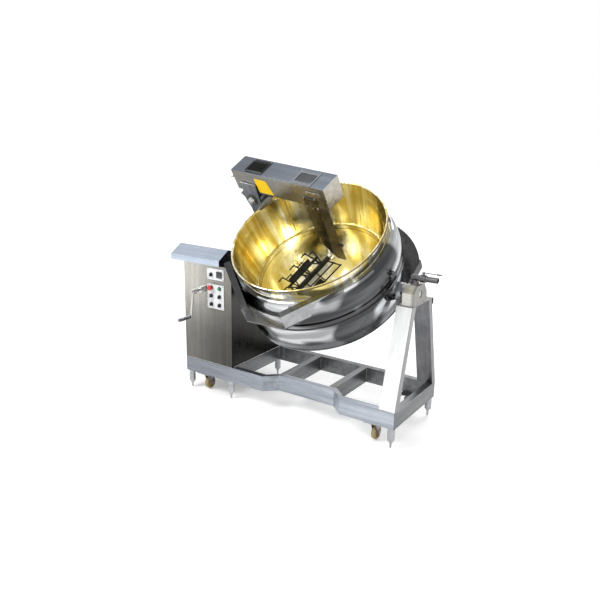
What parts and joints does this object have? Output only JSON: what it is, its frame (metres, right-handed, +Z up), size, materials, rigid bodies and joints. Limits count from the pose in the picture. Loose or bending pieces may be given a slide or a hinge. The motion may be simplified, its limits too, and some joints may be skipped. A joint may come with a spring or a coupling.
{
  "type": "stir-fry machine",
  "caption": "Tilting round cooking pot with a heated jacket and pouring chute, a lifting stirrer head that tips with it, on a base with a drive cabinet.",
  "frame": {"origin": "floor level, under the middle of the overall box", "axes": "+X to the machine's right seen from the front, along the tilt axis; +Y to the back; +Z up"},
  "size_m": [2.11, 1.369, 1.8717],
  "materials": {
    "frame_steel": "ground and brushed stainless tube",
    "foot_steel": "turned stainless",
    "zinc": "zinc-plated pressing",
    "wheel_tread": "amber polyurethane",
    "block_steel": "milled stainless",
    "pipe_steel": "pickled stainless",
    "cabinet_steel": "brushed stainless sheet",
    "gear_steel": "painted plate",
    "black_collar": "moulded",
    "panel_white": "white enamel",
    "controller_grey": "moulded",
    "button_red": "moulded",
    "button_green": "moulded",
    "knob_black": "moulded",
    "crank_chrome": "plated",
    "grip_steel": "satin sleeve",
    "liner_gold": "golden heat-tinted stainless, circle ground",
    "jacket_mirror": "mirror-polished stainless",
    "under_steel": "mill finish",
    "trunnion_steel": "turned",
    "wheel_bronze": "cast bronze",
    "chute_steel": "satin stainless sheet",
    "head_steel": "brushed stainless",
    "vent_dark": "dark louvre plate",
    "probe_steel": "polished",
    "stirrer_black": "black non-stick coat",
    "pad_grey": "moulded scraper"
  },
  "bodies": {
    "base": {"front_rail": "frame_steel", "frame_tubes": "frame_steel", "foot_sleeves": "foot_steel", "foot_screws": "foot_steel", "caster_plates": "zinc", "front_leg": "frame_steel", "rear_leg": "frame_steel", "leg_cap": "frame_steel", "bearing_block": "block_steel", "supply_pipe": "pipe_steel", "cabinet_shell": "cabinet_steel", "cabinet_back": "cabinet_steel", "cabinet_cap": "cabinet_steel", "gear_frame": "gear_steel", "crank_bush": "black_collar", "control_plates": "panel_white", "temperature_controller": "controller_grey", "button_bezels": "black_collar"},
    "pot": {"pot_liner": "liner_gold", "jacket_shell": "jacket_mirror", "jacket_band": "jacket_mirror", "jacket_skirt": "under_steel", "heated_bowl": "under_steel", "rear_yoke": "under_steel", "left_trunnion": "trunnion_steel", "right_trunnion": "trunnion_steel", "worm_wheel": "wheel_bronze", "chute_floor": "chute_steel", "left_guide": "chute_steel", "right_guide": "chute_steel", "head_bracket": "head_steel"},
    "head": {"beam_shell": "head_steel", "vent_covers": "vent_dark", "leg_case": "head_steel", "leg_bearing": "trunnion_steel", "drive_motor": "gear_steel", "probe_rod": "probe_steel", "hinge_pin": "trunnion_steel"},
    "stirrer": {"stirrer_shaft": "stirrer_black", "stirrer_blades": "stirrer_black", "scraper_pads": "pad_grey"},
    "crank": {"crank_shaft": "crank_chrome", "crank_arm": "crank_chrome"},
    "crank_handle": {"crank_grip": "grip_steel"},
    "valve": {"valve_lever": "pipe_steel"},
    "emergency_stop": {"emergency_button": "button_red"},
    "start": {"start_button": "button_green"},
    "selector_1": {"selector_1": "knob_black"},
    "selector_2": {"selector_2": "knob_black"},
    "selector_3": {"selector_3": "knob_black"},
    "selector_4": {"selector_4": "knob_black"},
    "selector_5": {"selector_5": "knob_black"},
    "caster_1": {"caster_fork_1": "zinc"},
    "wheel_1": {"caster_wheel_1": "wheel_tread"},
    "caster_2": {"caster_fork_2": "zinc"},
    "wheel_2": {"caster_wheel_2": "wheel_tread"},
    "caster_3": {"caster_fork_3": "zinc"},
    "wheel_3": {"caster_wheel_3": "wheel_tread"},
    "caster_4": {"caster_fork_4": "zinc"},
    "wheel_4": {"caster_wheel_4": "wheel_tread"}
  },
  "joints": [
    {"name": "pot_tilt", "type": "hinge", "parent": "base", "child": "pot", "pos_m": [0.18, 0.07218, 1.03], "axis": [1, 0, 0], "range_deg": [-34, 56]},
    {"name": "crank_turn", "type": "hinge", "parent": "base", "child": "crank", "pos_m": [-0.723, -0.34281, 0.866], "axis": [0, 1, 0], "range_deg": [-1361, 2241]},
    {"name": "grip_spin", "type": "hinge", "parent": "crank", "child": "crank_handle", "pos_m": [-0.74737, -0.42281, 0.66749], "axis": [0, 1, 0], "continuous": true},
    {"name": "head_lift", "type": "hinge", "parent": "pot", "child": "head", "pos_m": [-0.33323, -0.01778, 1.61827], "axis": [-0.1582, -0.8186, -0.5522], "range_deg": [0, 60]},
    {"name": "stirrer_spin", "type": "hinge", "parent": "head", "child": "stirrer", "pos_m": [0.258, 0.06637, 1.23355], "axis": [-0.6485, -0.1197, -0.7517], "continuous": true},
    {"name": "valve_turn", "type": "hinge", "parent": "base", "child": "valve", "pos_m": [0.928, 0.10819, 1.164], "axis": [0, 0, 1], "range_deg": [0, 90]},
    {"name": "emergency_press", "type": "slide", "parent": "base", "child": "emergency_stop", "axis": [0, 1, 0], "range_m": [0, 0.005], "stiffness_N_per_m": 1500},
    {"name": "start_press", "type": "slide", "parent": "base", "child": "start", "axis": [0, 1, 0], "range_m": [0, 0.004], "stiffness_N_per_m": 900},
    {"name": "selector_1_turn", "type": "hinge", "parent": "base", "child": "selector_1", "pos_m": [-0.649, -0.22781, 0.987], "axis": [0, -1, 0], "range_deg": [-45, 45]},
    {"name": "selector_2_turn", "type": "hinge", "parent": "base", "child": "selector_2", "pos_m": [-0.649, -0.22781, 0.822], "axis": [0, -1, 0], "range_deg": [-45, 45]},
    {"name": "selector_3_turn", "type": "hinge", "parent": "base", "child": "selector_3", "pos_m": [-0.569, -0.22781, 0.822], "axis": [0, -1, 0], "range_deg": [-45, 45]},
    {"name": "selector_4_turn", "type": "hinge", "parent": "base", "child": "selector_4", "pos_m": [-0.649, -0.22781, 0.755], "axis": [0, -1, 0], "range_deg": [-45, 45]},
    {"name": "selector_5_turn", "type": "hinge", "parent": "base", "child": "selector_5", "pos_m": [-0.569, -0.22781, 0.755], "axis": [0, -1, 0], "range_deg": [-45, 45]},
    {"name": "caster_1_swivel", "type": "hinge", "parent": "base", "child": "caster_1", "pos_m": [-0.758, -0.15782, 0.14], "axis": [0, 0, 1], "continuous": true},
    {"name": "wheel_1_roll", "type": "hinge", "parent": "caster_1", "child": "wheel_1", "pos_m": [-0.758, -0.13181, 0.054], "axis": [1, 0, 0], "continuous": true},
    {"name": "caster_2_swivel", "type": "hinge", "parent": "base", "child": "caster_2", "pos_m": [0.758, -0.15782, 0.14], "axis": [0, 0, 1], "continuous": true},
    {"name": "wheel_2_roll", "type": "hinge", "parent": "caster_2", "child": "wheel_2", "pos_m": [0.758, -0.13181, 0.054], "axis": [1, 0, 0], "continuous": true},
    {"name": "caster_3_swivel", "type": "hinge", "parent": "base", "child": "caster_3", "pos_m": [-0.758, 0.40219, 0.14], "axis": [0, 0, 1], "continuous": true},
    {"name": "wheel_3_roll", "type": "hinge", "parent": "caster_3", "child": "wheel_3", "pos_m": [-0.758, 0.37618, 0.054], "axis": [1, 0, 0], "continuous": true},
    {"name": "caster_4_swivel", "type": "hinge", "parent": "base", "child": "caster_4", "pos_m": [0.758, 0.40219, 0.14], "axis": [0, 0, 1], "continuous": true},
    {"name": "wheel_4_roll", "type": "hinge", "parent": "caster_4", "child": "wheel_4", "pos_m": [0.758, 0.37618, 0.054], "axis": [1, 0, 0], "continuous": true}
  ],
  "couplings": [
    {"joint": "crank_turn", "follows": "pot_tilt", "ratio": 40}
  ]
}
